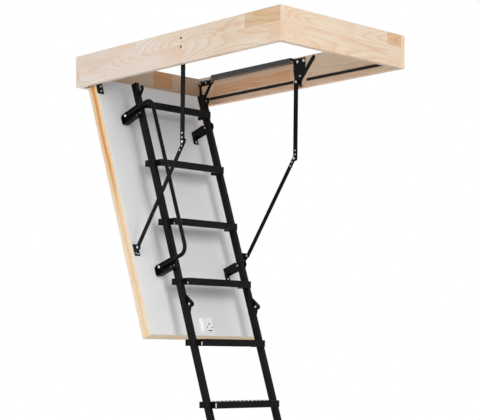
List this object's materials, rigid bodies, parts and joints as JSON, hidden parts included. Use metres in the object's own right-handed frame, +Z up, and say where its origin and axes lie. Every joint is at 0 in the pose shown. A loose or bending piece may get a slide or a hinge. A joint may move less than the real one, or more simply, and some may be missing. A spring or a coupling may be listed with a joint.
{
  "type": "loft ladder",
  "caption": "Folding metal loft ladder: wooden ceiling box, insulated hatch on a jointed arm linkage, three hinged ladder sections with flat treads, handrail and rubber feet.",
  "frame": {"origin": "centre of the outer face of the box's hinge-end board, which is bolted to a joist", "axes": "+Z up, +Y out of the hinge-end board (the ladder leans up towards it), +X to the right seen from the foot of the ladder looking up it"},
  "size_m": [0.7, 1.2, 2.8707],
  "materials": {
    "pine": "bare jointed softwood",
    "edge_wood": "bare softwood edge",
    "rubber": "matte black",
    "foam": "insulation",
    "white_panel": "white painted board",
    "white_plastic": "white",
    "zinc": "zinc plated",
    "black_steel": "black powder coat"
  },
  "bodies": {
    "box": {"box_left_board": "pine", "box_right_board": "pine", "box_hinge_board": "pine", "box_free_board": "pine", "seal_free_end": "rubber", "seal_rear_left": "rubber", "seal_rear_right": "rubber", "seal_front_left": "rubber", "seal_front_right": "rubber", "link_plate_left": "black_steel", "link_plate_right": "black_steel", "spring_left": "zinc", "spring_right": "zinc", "spring_sleeve_left": "black_steel", "spring_sleeve_right": "black_steel", "hinge_hanger_left": "black_steel", "hinge_hanger_right": "black_steel"},
    "hatch": {"hatch_frame": "edge_wood", "hatch_core": "foam", "hatch_inner_panel": "white_panel", "hatch_outer_panel": "white_panel", "latch_plate": "white_plastic", "hatch_hinge_left": "black_steel", "hatch_hinge_right": "black_steel", "arm_foot_left": "black_steel", "arm_foot_right": "black_steel", "standoff_upper_left": "black_steel", "standoff_upper_right": "black_steel", "standoff_lower_left": "black_steel", "standoff_lower_right": "black_steel", "handrail": "black_steel", "stile_1_left": "black_steel", "stile_1_right": "black_steel", "tread_01": "black_steel", "tread_02": "black_steel", "tread_03": "black_steel", "tread_04": "black_steel"},
    "section_2": {"stile_2_left": "black_steel", "stile_2_right": "black_steel", "tread_05": "black_steel", "tread_06": "black_steel", "tread_07": "black_steel", "tread_08": "black_steel"},
    "section_3": {"stile_3_left": "black_steel", "stile_3_right": "black_steel", "tread_09": "black_steel", "tread_10": "black_steel", "tread_11": "black_steel", "foot_left": "rubber", "foot_right": "rubber"},
    "upper_arm_left": {"upper_arm_left": "black_steel"},
    "upper_arm_right": {"upper_arm_right": "black_steel"},
    "lower_arm_left": {"lower_arm_left": "black_steel"},
    "lower_arm_right": {"lower_arm_right": "black_steel"}
  },
  "joints": [
    {"name": "hatch_hinge", "type": "hinge", "parent": "box", "child": "hatch", "pos_m": [0, -0.04, -0.057], "axis": [-1, 0, 0], "range_deg": [0, 71.5]},
    {"name": "fold_1_2", "type": "hinge", "parent": "hatch", "child": "section_2", "pos_m": [0, -0.53785, -0.98709], "axis": [-1, 0, 0], "range_deg": [0, 180]},
    {"name": "fold_2_3", "type": "hinge", "parent": "section_2", "child": "section_3", "pos_m": [0, -0.79986, -1.97501], "axis": [1, 0, 0], "range_deg": [0, 180]},
    {"name": "upper_arm_left_pivot", "type": "hinge", "parent": "box", "child": "upper_arm_left", "pos_m": [-0.3185, -0.64, -0.0395], "axis": [1, 0, 0], "range_deg": [0, 97.7]},
    {"name": "lower_arm_left_pivot", "type": "hinge", "parent": "hatch", "child": "lower_arm_left", "pos_m": [-0.3115, -0.35607, -0.75582], "axis": [-1, 0, 0], "range_deg": [0, 56.1]},
    {"name": "upper_arm_right_pivot", "type": "hinge", "parent": "box", "child": "upper_arm_right", "pos_m": [0.3185, -0.64, -0.0395], "axis": [1, 0, 0], "range_deg": [0, 97.7]},
    {"name": "lower_arm_right_pivot", "type": "hinge", "parent": "hatch", "child": "lower_arm_right", "pos_m": [0.3115, -0.35607, -0.75582], "axis": [-1, 0, 0], "range_deg": [0, 56.1]}
  ],
  "couplings": [
    {"joint": "upper_arm_left_pivot", "follows": "hatch_hinge", "ratio": 1.3591},
    {"joint": "lower_arm_left_pivot", "follows": "hatch_hinge", "ratio": 0.7779},
    {"joint": "upper_arm_right_pivot", "follows": "hatch_hinge", "ratio": 1.3591},
    {"joint": "lower_arm_right_pivot", "follows": "hatch_hinge", "ratio": 0.7779}
  ]
}
